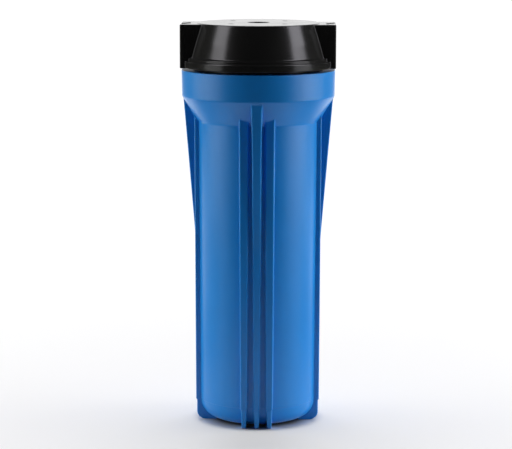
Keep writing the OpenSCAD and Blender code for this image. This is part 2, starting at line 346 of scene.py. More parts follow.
def soft_max(a, b, k=0.5):
    """The larger of two lengths, with a rounded change from one to the other."""
    return np.maximum(a, b) + np.maximum(k - np.abs(a - b), 0) ** 2 / (4 * k)


def rib_section(centre, half, crest, radius, base, inset):
    """Points of one rib's outline, from its left foot over the crest to its right one."""
    half = half - inset
    crest = crest - inset
    left, right = [], []

    def circle_x(y):
        return math.sqrt(max(radius ** 2 - y ** 2, 0))

    for side, store in ((-1, left), (1, right)):
        wall_y = centre + side * half
        stand = max(crest - circle_x(wall_y + side * base), 0)
        e = min(RIB_EDGE, 0.45 * stand)
        b = min(base, 0.45 * stand)
        foot_x = circle_x(wall_y + side * b)
        for i in range(FILLET_POINTS):
            t = math.pi / 2 * i / (FILLET_POINTS - 1)
            y = wall_y + side * b * (1 - math.sin(t))
            x = foot_x + b * (1 - math.cos(t))
            store.append((max(x, circle_x(y)), y))
        for i in range(FILLET_POINTS):
            t = math.pi / 2 * i / (FILLET_POINTS - 1)
            y = wall_y - side * e * (1 - math.cos(t))
            x = crest - e * (1 - math.sin(t))
            store.append((float(soft_max(x, circle_x(y))), y))
    inner = []
    y0, y1 = left[-1][1], right[-1][1]
    for i in range(1, CREST_INNER + 1):
        y = y0 + (y1 - y0) * i / (CREST_INNER + 1)
        inner.append((float(soft_max(crest, circle_x(y))), y))
    return left + inner + right[::-1]


def quarter_turns():
    return [(math.cos(g * math.pi / 2), math.sin(g * math.pi / 2)) for g in range(4)]


def bowl_ring(z, radius, inset=0.0):
    """The bowl's outline at one height: a circle with four groups of three ribs."""
    base = RIB_FILLET * float(smooth((z - RIB_FILLET_Z) / RIB_FILLET_RISE))
    ribs = []
    for centre, middle in ((-RIB_PITCH, False), (0, True), (RIB_PITCH, False)):
        half, crest = rib_half(z, middle), rib_crest(z, middle)
        ribs.append(rib_section(centre, half, crest, radius, base, inset))

    def angle(point):
        return math.atan2(point[1], point[0])

    def on_circle(a):
        return radius * math.cos(a), radius * math.sin(a)

    points = []
    first = angle(ribs[0][0])
    last = angle(ribs[2][-1])
    for i in range(ARC_POINTS):
        points.append(on_circle(-math.pi / 4 + (first + math.pi / 4) * i / ARC_POINTS))
    for k, rib in enumerate(ribs):
        points += rib
        if k < 2:
            points.append(on_circle((angle(rib[-1]) + angle(ribs[k + 1][0])) / 2))
    for i in range(1, ARC_POINTS):
        points.append(on_circle(last + (math.pi / 4 - last) * i / ARC_POINTS))
    x, y = np.array(points).T
    ring = np.concatenate([np.stack([x * c - y * s, x * s + y * c], 1) for c, s in quarter_turns()])
    return np.column_stack([ring, np.full(len(ring), z)])


def rib_to_circle(ring, outline, radius, inset=0.0):
    """Moves a ring's rib points to where the outline's ribs, carried on inwards, would meet the circle."""
    for g, (c, s) in enumerate(quarter_turns()):
        for first in RIB_STARTS:
            for k in range(g * QUARTER + first, g * QUARTER + first + RIB_POINTS):
                y = -outline[k, 0] * s + outline[k, 1] * c
                x = math.sqrt(radius ** 2 - y * y) + inset
                ring[k, 0], ring[k, 1] = x * c - y * s, x * s + y * c


def build_feet(shell, chord, outline_start, chord_start, radius):
    """The ribs' feet, each a closed block that hangs under the bowl's rounded corner."""
    inner_starts, outer_starts = [chord_start], [outline_start]
    for z, inset in FOOT_LEVELS:
        outer = bowl_ring(max(z, 0.001), radius, inset)
        outer[:, 2] = z
        outer_starts.append(shell.add(outer))
        inner = chord.copy()
        inner[:, 2] = z
        rib_to_circle(inner, outer, radius, inset)
        inner_starts.append(shell.add(inner))
    faces = shell.faces
    for first in [g * QUARTER + start for g in range(4) for start in RIB_STARTS]:
        for k in range(first, first + RIB_POINTS - 1):
            for a, b in zip(outer_starts, outer_starts[1:]):
                faces.append((a + k, b + k, b + k + 1, a + k + 1))
            for a, b in zip(inner_starts, inner_starts[1:]):
                faces.append((a + k, a + k + 1, b + k + 1, b + k))
            a, b = outer_starts[-1], inner_starts[-1]
            faces.append((a + k, b + k, b + k + 1, a + k + 1))
        # End walls of the foot, where the outline meets the circle
        for k in (first, first + RIB_POINTS - 1):
            for a, b, c, d in zip(outer_starts, outer_starts[1:], inner_starts[1:], inner_starts):
                faces.append((a + k, b + k, c + k, d + k))


def build_sump():
    corner, side = bowl_profile()
    below_rim = side[:-SIDE_STEPS - 1]
    wall = corner + below_rim
    more = np.concatenate([np.arange(24, 134, 9.5), FLARE_LEVELS, np.arange(150, CONE_Z - 3, 9),
                           np.arange(CONE_Z + 2.5, COLLAR_Z + 3, 0.42)])
    heights = sorted({round(float(z), 4) for z in [z for _, z in wall] + list(more)})
    radii = np.interp(heights, [z for _, z in wall], [r for r, _ in wall])
    shell = Shell(RING)

    # Underside of the bowl, from its middle out to the feet's inner ends
    outline = bowl_ring(heights[0], radii[0])
    chord = outline.copy()
    rib_to_circle(chord, outline, radii[0])
    chord_angles = np.arctan2(chord[:, 1], chord[:, 0])
    under = shell.add_profile([(0.0, BASE_Z), (9.0, BASE_Z), (18, BASE_Z), (26, BASE_Z), (28.4, BASE_Z),
                               (29.6, 1.449), (30.8, 1.6)], chord_angles)
    chord_start = shell.add(chord)
    shell.strip(under + [chord_start])
    # Outside, up to where the middle ribs end
    outside = [shell.add(bowl_ring(z, r)) for z, r in zip(heights, radii) if z <= COLLAR_Z + 4]
    shell.strip(outside)
    build_feet(shell, chord, outside[0], chord_start, radii[0])
    # Collar: the points slide round to even steps
    last = np.array(shell.verts[outside[-1]:outside[-1] + RING])
    z0 = float(last[0, 2])
    angles = np.unwrap(np.arctan2(last[:, 1], last[:, 0]))
    even = -math.pi / 4 + even_angles(RING)
    levels = [(float(np.interp(z, [p[1] for p in below_rim], [p[0] for p in below_rim])), z)
              for z in np.arange(z0 + 1, z0 + 12, 1.0)]
    levels += [p for p in side if p[1] > levels[-1][1] + 0.3]
    collar = [outside[-1]]
    for r, z in levels:
        t = float(smooth((z - z0) / 10))
        collar.append(shell.add(circle(r, z, angles * (1 - t) + even * t)))
    shell.strip(collar)
    # Rim and thread
    thread_top_z = RIM_Z - 1.2
    thread_bottom_z = LEDGE_Z + 0.6
    rim = round_corners([(COLLAR_R - 0.9, RIM_Z), (MOUTH_R, RIM_Z), (FEMALE_ROOT_R, RIM_Z - 0.8),
                         (FEMALE_ROOT_R, thread_top_z)], [0, 0.3, 0.3, 0], 2)[1:-1]
    rim_starts = [collar[-1]] + shell.add_profile(rim, even)
    rows = thread_rows(even + math.pi / 4, thread_bottom_z, thread_top_z, MALE_START_Z + THREAD_LEAD / 2,
                       FEMALE_ROOT_R, FEMALE_CREST_R)
    # The thread's angles begin at zero, so its rows are turned back to where the ring begins
    row_starts = [shell.add(circle(np.hypot(row[:, 0], row[:, 1]), row[:, 2], even)) for row in rows]
    shell.strip(rim_starts + row_starts[:1])
    shell.strip_thread(row_starts, len(RIDGE_ROWS))
    # Seal's groove, bore, knife edge and spigot
    knife_z = CARTRIDGE_Z - KNIFE_BITE
    floor_z = BOWL_FLOOR_Z
    inside = round_corners([
        (FEMALE_ROOT_R, thread_bottom_z), (FEMALE_ROOT_R, LEDGE_Z), (GROOVE_OUT_R, LEDGE_Z),
        (GROOVE_OUT_R, GROOVE_Z), (GROOVE_IN_R, GROOVE_Z), (GROOVE_IN_R, LEDGE_Z), (BORE_TOP_R, LEDGE_Z),
        (BORE_BOTTOM_R, BAND_Z), (BORE_BOTTOM_R, floor_z), (17.2, floor_z), (16.9, floor_z + 1),
        (KNIFE_OUT_R, knife_z), (KNIFE_IN_R, knife_z), (14.5, floor_z + 1), (14.2, floor_z),
        (SPIGOT_R, floor_z), (SPIGOT_R, CARTRIDGE_Z + 3.5), (SPIGOT_R - 1, CARTRIDGE_Z + 4.5),
        (SPIGOT_BORE_R, CARTRIDGE_Z + 4.5), (SPIGOT_BORE_R, floor_z), (0, floor_z)
    ], [0, 0.4, 0.3, 0.4, 0.4, 0.3, 0.5, 0, 10.7, 0.5, 0, 0.15, 0.15, 0, 0.3, 0.3, 0.3, 0.3, 0.2, 0.4, 0], 3)
    shell.strip([row_starts[-1]] + shell.add_profile(inside[1:], even))
    return weigh(shell.build("sump_moulding"))


# ---------- cap

EAR_X = 58.55
EAR_Y = 20.7
EAR_CORNER = 1.2
EAR_FILLET = 1.2
CAP_QUARTER = 44
CAP_RING = 4 * CAP_QUARTER
DISC_R = 46.5
WELL_R = 8.0
STEM_HOLE_R = 2.3
SCREW_R = 2.1
SCREW_XY = 20
PORT_R = 12.2
PORT_DEPTH = 15.0
PORT_PITCH = 1.8143
PORT_GROOVE = 0.85
PORT_LIP = 0.9
PORT_ROWS = (0.907, 0.62, 0.3, 0.1, -0.1, -0.3, -0.62)  # heights over the middle of a groove
OUTLET_PIPE_Z = TOP_Z - 19


def cap_outline(radius, z, inset=0.0):
    """The cap's outline at one height: a circle joined to the two port ears."""
    length, width, corner = EAR_X - inset, EAR_Y - inset, EAR_CORNER
    pts = [(length, (width - corner) * i / 3) for i in range(3)]
    for i in range(4):
        t = math.pi / 2 * i / 3
        pts.append((length - corner + corner * math.cos(t), width - corner + corner * math.sin(t)))
    centre = (math.sqrt((radius + EAR_FILLET) ** 2 - (width + EAR_FILLET) ** 2), width + EAR_FILLET)
    wall_x0, wall_x1 = length - corner, centre[0]
    for i in range(1, 4):
        pts.append((wall_x0 + (wall_x1 - wall_x0) * i / 4, width))
    start = math.atan2(centre[1], centre[0])
    end = start + math.pi
    for i in range(5):
        t = 1.5 * math.pi + (end - 1.5 * math.pi) * i / 4
        pts.append((centre[0] + EAR_FILLET * math.cos(t), centre[1] + EAR_FILLET * math.sin(t)))
    steps = CAP_QUARTER - len(pts) + 1
    for i in range(1, steps + 1):
        a = start + (math.pi / 2 - start) * i / steps
        pts.append((radius * math.cos(a), radius * math.sin(a)))
    quarter = np.array(pts)
    second = quarter[1:-1][::-1] * (-1, 1)
    other = np.concatenate([[(-length, 0.0)], quarter[1:] * (-1, -1), second * (-1, -1)])
    ring = np.concatenate([quarter, second, other])
    return np.column_stack([ring, np.full(len(ring), z)])


def build_cap_body():
    """The cap without its ports, ducts, bosses, screw holes and flow marks."""
    shell = Shell(CAP_RING)
    even = even_angles(CAP_RING)
    # Male thread between the flange's neck and the skirt's end
    neck_z = RIM_Z + 0.2
    thread_bottom_z = SKIRT_Z + 0.75
    rows = thread_rows(even, thread_bottom_z, neck_z, MALE_START_Z, MALE_ROOT_R, MALE_CREST_R)
    row_starts = [shell.add(row) for row in rows]
    shell.strip_thread(row_starts, len(RIDGE_ROWS))
    neck = round_corners([(MALE_ROOT_R, neck_z), (49.1, neck_z), (49.1, FLANGE_Z), (53, FLANGE_Z)],
                         [0, 0.3, 0.4, 0], 3)[:-1]
    neck_starts = [row_starts[0]] + shell.add_profile(neck[1:], even)
    shell.strip(neck_starts[::-1])
    # Outside of flange, ledge, cone and ears
    outer = round_corners([
        (58.1, FLANGE_Z + 0.5), (58.1, FLANGE_Z + 5.6), (55.9, FLANGE_Z + 5.66), (55.6, FLANGE_Z + 5.7),
        (55.4, FLANGE_Z + 7.5), (53.3, FLANGE_Z + 7.9), (50.6, FLANGE_Z + 18.5), (46.9, TOP_Z - 1.6),
        (DISC_R, EAR_TOP_Z)
    ], [0, 2.2, 0, 0.25, 0.5, 1.4, 90, 0.8, 0], 6)
    outline = [cap_outline(57.6, FLANGE_Z, 0.5), cap_outline(57.95, FLANGE_Z + 0.15, 0.15)]
    outline += [cap_outline(r, z) for r, z in outer if z < EAR_TOP_Z - 0.55]
    edge_r = float(np.interp(EAR_TOP_Z - 0.5, [p[1] for p in outer], [p[0] for p in outer]))
    outline += [cap_outline(edge_r, EAR_TOP_Z - 0.5), cap_outline(edge_r - 0.05, EAR_TOP_Z - 0.15, 0.15),
                cap_outline(DISC_R, EAR_TOP_Z, 0.5)]
    starts = [shell.add(ring) for ring in outline]
    shell.strip([neck_starts[-1]] + starts)
    # Ear tops run in to the disc, which stands a little higher
    top = outline[-1]
    angles = np.unwrap(np.arctan2(top[:, 1], top[:, 0]))
    disc = round_corners([(DISC_R, EAR_TOP_Z), (46.15, TOP_Z), (44, TOP_Z)], [0, 0.45, 0], 4)[:-1]
    disc_starts = [starts[-1]] + shell.add_profile(disc, angles)
    # Well, stem hole, hub with its spigot and knife edge, chamber and skirt
    face_z = CARTRIDGE_TOP_Z
    knife_z = face_z + KNIFE_BITE
    inside = round_corners([
        (44, TOP_Z), (WELL_R, TOP_Z), (WELL_R, WELL_Z), (STEM_HOLE_R, WELL_Z), (STEM_HOLE_R, VALVE_Z),
        (SPIGOT_BORE_R, VALVE_Z), (SPIGOT_BORE_R, SKIRT_Z + 1.1), (SPIGOT_R, SKIRT_Z + 1.1),
        (SPIGOT_R, face_z + 3), (15.0, face_z + 3), (KNIFE_IN_R, knife_z), (KNIFE_OUT_R, knife_z),
        (17.0, face_z + 4), (17.0, face_z + 7), (13.6, face_z + 11), (13.6, ROOF_Z), (41.0, ROOF_Z),
        (41.6, SKIRT_Z), (MALE_ROOT_R, SKIRT_Z), (MALE_ROOT_R, thread_bottom_z)
    ], [0, 0.8, 0.4, 0.15, 0.15, 0.6, 0.5, 0.5, 0.5, 0.3, 0.15, 0.15, 0.4, 1.5, 1.5, 1.5, 1.5, 0.4, 0.5, 0],
        4)
    inside_starts = [disc_starts[-1]]
    for k, (r, z) in enumerate([(30, TOP_Z), (18, TOP_Z)] + inside[1:-1]):
        t = min(1.0, (k + 1) / 2)
        inside_starts.append(shell.add(circle(r, z, angles * (1 - t) + even * t)))
    shell.strip(disc_starts)
    shell.strip(inside_starts + [row_starts[-1]])
    return shell.build("cap_body")


def upright(x, y):
    """Placing function of a shell turned about an upright line."""
    return lambda h, u, v: (x + u, y + v, h)


def lengthways(z):
    """Placing function of a shell turned about a line along X."""
    return lambda h, u, v: (h, u, z + v)


def turned_shell(profile, place, count=48):
    """A closed shell of revolution, as (points, faces) in mm, from (radius, distance along) points."""
    shell = Shell(count)
    shell.strip([shell.add([place(h, r * math.cos(a), r * math.sin(a)) for a in even_angles(count)])
                 for r, h in profile])
    return shell.verts, shell.faces


def port_cutter(side, count=96):
    """A threaded bore with a rounded mouth, as (points, faces) in mm."""
    inner = EAR_X - PORT_DEPTH
    mouth_x = EAR_X - 0.03
    mouth_r = PORT_R + PORT_LIP
    angles = even_angles(count)
    shell = Shell(count)

    def add(r, along):
        """Adds a ring from each point's own radius and distance along."""
        return shell.add([(side * h, side * rr * math.cos(a), PORT_Z + rr * math.sin(a))
                          for rr, h, a in zip(r, along, angles)])

    def add_circle(r, along):
        return add(np.full(count, r), np.full(count, along))

    mouth = [(0.0, EAR_X + 2), (mouth_r, EAR_X + 2), (mouth_r, mouth_x)]
    for i in range(1, 7):
        t = math.pi / 2 * i / 6
        mouth.append((mouth_r - PORT_LIP * math.sin(t), mouth_x - PORT_LIP * (1 - math.cos(t))))
    starts = [add_circle(r, h) for r, h in mouth]
    high = mouth_x - PORT_LIP
    low = inner + 0.8
    row_starts = []
    top_group = math.ceil((high - inner) / PORT_PITCH) + 2
    group = 0
    done = False
    while not done:
        for d in PORT_ROWS:
            h = inner + 1.6 + PORT_PITCH * (angles / TAU + top_group - group) + d
            groove = np.clip((0.72 - abs(d)) / 0.62, 0, 1)
            fade = smooth((h - inner - 0.9) / 1.2) * smooth((high - h + 0.3) / 0.8)
            r = np.where((h > low) & (h < high), PORT_R + PORT_GROOVE * groove * fade, PORT_R)
            h = np.clip(h, low, high)
            row_starts.append(add(r, h))
            done = bool(np.all(h <= low))
        group += 1
    shell.strip(starts + row_starts[:1])
    shell.strip_thread(row_starts, len(PORT_ROWS))
    tail = [(PORT_R, inner + 0.3), (PORT_R - 0.4, inner), (0.0, inner)]
    shell.strip([row_starts[-1]] + [add_circle(r, h) for r, h in tail])
    return shell.verts, shell.faces


def flow_mark(side):
    """A raised arrowhead on an ear's top, as (points, faces) in mm. Both point the way the water goes."""
    centre_x = side * (EAR_X - 4.2)
    low = [(-3.2, -9), (3.2, 0), (-3.2, 9)]
    top = [(-2.9, -8.2), (2.72, 0), (-2.9, 8.2)]
    pts = [(centre_x + x, y, EAR_TOP_Z + rise)
           for shape, rise in ((low, -0.4), (low, 0.3), (top, 0.5)) for x, y in shape]
    faces = [(2, 1, 0), (6, 7, 8)]
    for k in (0, 3):
        faces += [(k + i, k + (i + 1) % 3, k + 3 + (i + 1) % 3, k + 3 + i) for i in range(3)]
    return pts, faces


def join_shells(name, shells):
    """One object from several closed shells, each a (points, faces) pair in mm."""
    verts, faces = [], []
    for pts, shell_faces in shells:
        n = len(verts)
        verts.extend([tuple(p) for p in pts])
        faces.extend([tuple(n + i for i in f) for f in shell_faces])
    return make_object(name, verts, faces)


def build_cap():
    """The cap's body with what stands on it joined and its holes cut. The ducts have a step of their
    own, because the shells of one boolean step mustn't overlap."""
    extras, cuts = [], []
    for x in (-SCREW_XY, SCREW_XY):
        for y in (-SCREW_XY, SCREW_XY):
            boss = round_corners([(0, TOP_Z - 18), (5.2, TOP_Z - 18), (5.4, TOP_Z - 3), (0, TOP_Z - 3)],
                                 [0, 0.6, 0, 0], 3)
            extras.append(turned_shell(boss, upright(x, y), 32))
            hole = [(0, TOP_Z + 2), (SCREW_R + 0.15, TOP_Z + 2), (SCREW_R + 0.15, TOP_Z - 0.02),
                    (SCREW_R, TOP_Z - 0.17), (SCREW_R, TOP_Z - 14.2), (0, TOP_Z - 15)]
            cuts.append(turned_shell(hole, upright(x, y), 32))
    extras.append(turned_shell([(0, 12), (10, 12), (10, 43.5), (0, 43.5)], lengthways(OUTLET_PIPE_Z)))
    extras += [flow_mark(-1), flow_mark(1)]
    cuts += [port_cutter(1), port_cutter(-1)]
    duct_x = EAR_X - PORT_DEPTH + 0.5
    outlet = turned_shell([(0, 3), (7, 3), (7, duct_x), (0, duct_x)], lengthways(OUTLET_PIPE_Z))
    inlet = turned_shell([(0, -duct_x), (9.5, -duct_x), (9.5, -36), (0, -36)], lengthways(PORT_Z))
    body = build_cap_body()
    steps = (("UNION", join_shells("cap_extras", extras)), ("DIFFERENCE", join_shells("cap_cuts", cuts)),
             ("DIFFERENCE", join_shells("cap_ducts", [outlet, inlet])))
    for kind, tool in steps:
        m = body.modifiers.new(kind, "BOOLEAN")
        m.operation = kind
        m.solver = "EXACT"
        m.use_self = False
        m.object = tool
    graph = bpy.context.evaluated_depsgraph_get()
    mesh = bpy.data.meshes.new_from_object(body.evaluated_get(graph))
    for obj in (body, *(tool for _, tool in steps)):
        bpy.data.objects.remove(obj)
    clean(mesh, turn_out=False)
    return weigh(new_object("cap_moulding", mesh))


# ---------- relief valve

STEM_R = 1.9
STEM_ROOT_R = STEM_R - 0.3
BUTTON_R = 6.6
POCKET_R = 5.4
BUTTON_TOP_Z = TOP_Z - 1.6
BUTTON_SKIRT_Z = WELL_Z + 3.5
POCKET_Z = WELL_Z + 5.3
WASHER_Z = VALVE_Z - 2.6
WASHER_R = 5
WASHER_H = 0.84
NUT_H = 2.9
NUT_Z = WASHER_Z - NUT_H
NUT_FLAT_R = 3.49
NUT_CORNER_R = 4.1
NUT_FACE_R = 3.42
SEAL_WIRE_R = 0.88
STEM_END_Z = NUT_Z - 0.4


def build_button():
    """Dished button with a skirt, and its stem with a fine thread at the lower end."""
    angles = even_angles(64)
    shell = Shell(64)
    head = round_corners([
        (0, BUTTON_TOP_Z - 0.4), (3.9, BUTTON_TOP_Z - 0.4), (4.7, BUTTON_TOP_Z), (BUTTON_R, BUTTON_TOP_Z),
        (BUTTON_R, BUTTON_SKIRT_Z), (POCKET_R, BUTTON_SKIRT_Z), (POCKET_R, POCKET_Z), (STEM_R, POCKET_Z),
        (STEM_R, WASHER_Z + 1.2)
    ], [0, 0.8, 0.5, 0.9, 0.2, 0.2, 0.3, 0.3, 0], 4)
    starts = shell.add_profile(head, angles)
    rows = thread_rows(angles, STEM_END_Z + 0.35, WASHER_Z + 1.0, STEM_END_Z + 0.5, STEM_R, STEM_ROOT_R,
                       lead=0.7, turns=4.6, scale=0.14)
    row_starts = [shell.add(row) for row in rows]
    shell.strip(starts + row_starts[:1])
    shell.strip_thread(row_starts, len(RIDGE_ROWS))
    tip = shell.add_profile([(STEM_ROOT_R, STEM_END_Z), (0, STEM_END_Z)], angles)
    shell.strip([row_starts[-1]] + tip)
    return weigh(shell.build("button_moulding"))


def build_spring():
    """Coil with its end turns lying flat."""
    wire_r, coil_r, turns, per_turn, sides = 0.35, 3.6, 4.6, 40, 12
    low, high = WELL_Z + wire_r + 0.03, POCKET_Z - wire_r - 0.03
    steps = int(turns * per_turn)
    section = [(coil_r + wire_r * math.cos(TAU * j / sides), wire_r * math.sin(TAU * j / sides))
               for j in range(sides)]
    shell = Shell(sides)
    starts = []
    for i in range(steps + 1):
        t = i / steps
        angle = TAU * turns * t
        rise = float(np.interp(t * turns, [0, 0.75, turns - 0.75, turns], [0, 0.13, 0.87, 1]))
        z = low + (high - low) * rise
        starts.append(shell.add([(r * math.cos(angle), r * math.sin(angle), z + h) for r, h in section]))
    shell.strip(starts)
    shell.faces.append(tuple(starts[0] + j for j in range(sides))[::-1])
    shell.faces.append(tuple(starts[-1] + j for j in range(sides)))
    return shell.build("coil_spring")


def build_nut():
    """Hexagon nut with chamfered corners. Its section is (radius limit, height) points outside, and
    (radius, height) points in the hole."""
    count = 96
    angles = even_angles(count)
    sector = (angles + TAU / 12) % (TAU / 6) - TAU / 12
    hexagon = np.roll(NUT_FLAT_R / np.cos(sector), count // 12)
    chamfer_r = 3.75
    outside = [(NUT_FACE_R, 0), (chamfer_r, 0.2), (NUT_CORNER_R, 0.45), (NUT_CORNER_R, NUT_H - 0.45),
               (chamfer_r, NUT_H - 0.2), (NUT_FACE_R, NUT_H)]
    hole = [(2.3, NUT_H), (STEM_R + 0.02, NUT_H - 0.3), (STEM_R + 0.02, 0.3), (2.3, 0)]
    shell = Shell(count)
    starts = [shell.add(circle(np.minimum(hexagon, limit), NUT_Z + z, angles)) for limit, z in outside]
    starts += shell.add_profile([(r, NUT_Z + z) for r, z in hole], angles)
    shell.strip(starts + [starts[0]])
    return weigh(shell.build("lock_nut"))


def build_washer():
    section = ring_section(STEM_R + 0.1, WASHER_R, WASHER_Z, WASHER_Z + WASHER_H, 0.16, 3)
    return weigh(lathe("valve_washer", section, 72))


def build_stem_seal():
    middle_r = STEM_R + 1.03
    turns = [TAU * i / 20 for i in range(20)]
    section = [(middle_r + SEAL_WIRE_R * math.cos(t), VALVE_Z - SEAL_WIRE_R + SEAL_WIRE_R * math.sin(t))
               for t in turns]
    return lathe("stem_seal", section, 72)


def build_bowl_seal():
    return lathe("bowl_seal", ring_section(42.45, 46.4, GROOVE_Z, SKIRT_Z, 1.35, 8), 160)


def ring_section(in_r, out_r, low, high, radius, steps):
    """Closed section of a ring with rounded corners, as (radius, height) points."""
    middle = ((in_r + out_r) / 2, low)
    return round_corners([middle, (out_r, low), (out_r, high), (in_r, high), (in_r, low), middle],
                         [0, radius, radius, radius, radius, 0], steps)[:-1]


# ---------- cartridge

MEDIA_Z = CARTRIDGE_Z + 5.5
MEDIA_TOP_Z = CARTRIDGE_TOP_Z - 5.5
CARTRIDGE_R = 31.75


def build_gasket(name, low):
    return weigh(lathe(name, ring_section(13.2, 20, low, low + GASKET_H, 0.45, 4), 128))


def build_end_cap(name, face_z, way):
    """Cup with a grooved flat face at face_z; way is 1 where it opens upwards and -1 downwards."""
    points = [(22, 0), (CARTRIDGE_R, 0), (CARTRIDGE_R, 10), (30.35, 10), (30.35, 3), (13, 3), (13, 0),
              (20.6, 0), (20.9, 0), (21.3, 0.5), (21.7, 0.5), (22, 0)]
    radii = [0, 1.1, 0.5, 0.4, 1.2, 0.5, 0.5, 0, 0.1, 0.15, 0.15, 0]
    section = [(r, face_z + way * h) for r, h in round_corners(points, radii, 4)[:-1]]
    return weigh(lathe(name, section, 160))


def build_window_tube(name, in_r, out_r, per_row, rows, window_w, window_h, round_by):
    """Tube with rows of windows: its skin is a grid of cells, and a window is a cell left out."""
    half = math.asin(window_w / 2 / out_r)
    pitch = TAU / per_row
    angles, open_columns = [], []
    for i in range(per_row):
        cuts = [-half, -half / 3, half / 3, half]
        bars = list(np.linspace(half, pitch - half, 4)[1:-1])
        angles += [i * pitch + a for a in cuts + bars]
        open_columns += [True] * 3 + [False] * 3
    row_h = (MEDIA_TOP_Z - MEDIA_Z) / (rows + 1)
    levels, open_rows = [MEDIA_Z], []
    for row in range(1, rows + 1):
        middle = MEDIA_Z + row * row_h
        levels += [middle - window_h / 2, middle + window_h / 2]
        open_rows += [False, True]
    levels.append(MEDIA_TOP_Z)
    open_rows.append(False)
    count = len(angles)
    verts, faces = [], []
    for r in (out_r, in_r):
        for z in levels:
            verts += [(r * math.cos(a), r * math.sin(a), z) for a in angles]
    shift = len(levels) * count

    def solid_cell(row, column):
        return 0 <= row < len(open_rows) and not (open_rows[row] and open_columns[column % count])

    for row in range(len(open_rows)):
        for column in range(count):
            if not solid_cell(row, column):
                continue
            a, b = row * count + column, row * count + (column + 1) % count
            c, d = b + count, a + count
            faces.append((a, b, c, d))
            faces.append((a + shift, d + shift, c + shift, b + shift))
            sides = ((row - 1, column, b, a), (row + 1, column, d, c), (row, column - 1, a, d),
                     (row, column + 1, c, b))
            for next_row, next_column, p, q in sides:
                if not solid_cell(next_row, next_column):
                    faces.append((p, q, q + shift, p + shift))
    obj = make_object(name, verts, faces, sharp=30)
    bevel = obj.modifiers.new("rounding", "BEVEL")
    bevel.width = round_by * MM
    bevel.segments = 2
    bevel.limit_method = "ANGLE"
    bevel.angle_limit = math.radians(50)
    return weigh(obj)


def build_core():
    return build_window_tube("core_tube", in_r=13.6, out_r=15.6, per_row=8, rows=15,
                             window_w=5, window_h=9, round_by=0.3)


def build_cage():
    return build_window_tube("outer_cage", in_r=28.85, out_r=30.25, per_row=12, rows=12,
                             window_w=11, window_h=14, round_by=0.35)


def unit(vectors):
    return vectors / np.linalg.norm(vectors, axis=1)[:, None]


def build_pleats():
    """Pleated medium: one folded wall with round folds, a little uneven along its height."""
    rng = np.random.default_rng(7)
    pleats, out_r, in_r, half_wall = 36, 28.3, 16.15, 0.27
    corners = []
    for i in range(2 * pleats):
        r = (out_r if i % 2 == 0 else in_r) + rng.uniform(-0.12, 0.12)
        a = TAU * i / (2 * pleats)
        corners.append((r * math.cos(a), r * math.sin(a)))
    start = tuple((np.array(corners[-1]) + corners[0]) / 2)
    radii = [0] + [0.85 if i % 2 == 0 else 0.45 for i in range(2 * pleats)] + [0]
    middle = np.array(round_corners([start] + corners + [start], radii, 4)[:-1])
    along = unit(unit(np.roll(middle, -1, 0) - middle) + unit(middle - np.roll(middle, 1, 0)))
    side = np.stack([along[:, 1], -along[:, 0]], 1)
    phase = rng.uniform(0, TAU, 3)
    turn = np.arctan2(middle[:, 1], middle[:, 0])
    shell = Shell(len(middle))
    walls = []
    for way in (1, -1):
        x, y = (middle + way * half_wall * side).T
        starts = []
        for z in np.linspace(MEDIA_Z, MEDIA_TOP_Z, 15):
            t = (z - MEDIA_Z) / (MEDIA_TOP_Z - MEDIA_Z)
            sway = 0.010 * math.sin(math.pi * t) * (np.sin(3 * turn + 5 * t + phase[0])
                                                   + np.sin(11 * turn + 9 * t + phase[1]))
            c, s = np.cos(sway), np.sin(sway)
            starts.append(shell.add(np.stack([x * c - y * s, x * s + y * c, np.full(len(x), z)], 1)))
        walls.append(starts)
    first, second = walls
    shell.strip(first)
    shell.strip(second[::-1])
    shell.strip([second[0], first[0]])
    shell.strip([first[-1], second[-1]])
    return shell.build("folded_medium")


# ---------- materials

NOISE_RANGE = (0.3, 0.7)  # where most of a noise's values lie


def new_material(name):
    m = bpy.data.materials.new(name)
    m.use_nodes = True
    nt = m.node_tree
    return m, nt, nt.nodes["Principled BSDF"]


def set_inputs(nt, node, constants=None, links=None):
    """Sets constants on a shader node's inputs, and links sockets to them."""
    for key, value in (constants or {}).items():
        node.inputs[key].default_value = value
    for key, socket in (links or {}).items():
        nt.links.new(socket, node.inputs[key])


def add_node(nt, kind, constants=None, links=None):
    node = nt.nodes.new("ShaderNode" + kind)
    set_inputs(nt, node, constants, links)
    return node


def noise(nt, scale, detail=3.0, rough=0.5, stretch=(1, 1, 1)):
    coords = add_node(nt, "TexCoord")
    mapping = add_node(nt, "Mapping", {"Scale": stretch}, {"Vector": coords.outputs["Object"]})
    look = {"Scale": scale, "Detail": detail, "Roughness": rough}
    return add_node(nt, "TexNoise", look, {"Vector": mapping.outputs["Vector"]}).outputs["Fac"]


def map_range(nt, value, start, end, low, high, curve="LINEAR"):
    """A step from low to high as value goes from start to end."""
    limits = {"From Min": start, "From Max": end, "To Min": low, "To Max": high}
    node = add_node(nt, "MapRange", limits, {"Value": value})
    node.interpolation_type = curve
    return node.outputs["Result"]


def spread(nt, value, low, high):
    return map_range(nt, value, *NOISE_RANGE, low, high)


def blend_colours(nt, value, dark, light):
    ramp = add_node(nt, "ValToRGB", links={"Fac": value})
    for stop, position, colour in zip(ramp.color_ramp.elements, NOISE_RANGE, (dark, light)):
        stop.position = position
        stop.color = (*colour, 1)
    return ramp.outputs["Color"]


def bump(nt, height, distance, strength, onto=None):
    links = {"Height": height}
    if onto is not None:
        links["Normal"] = onto
    return add_node(nt, "Bump", {"Distance": distance, "Strength": strength}, links).outputs["Normal"]


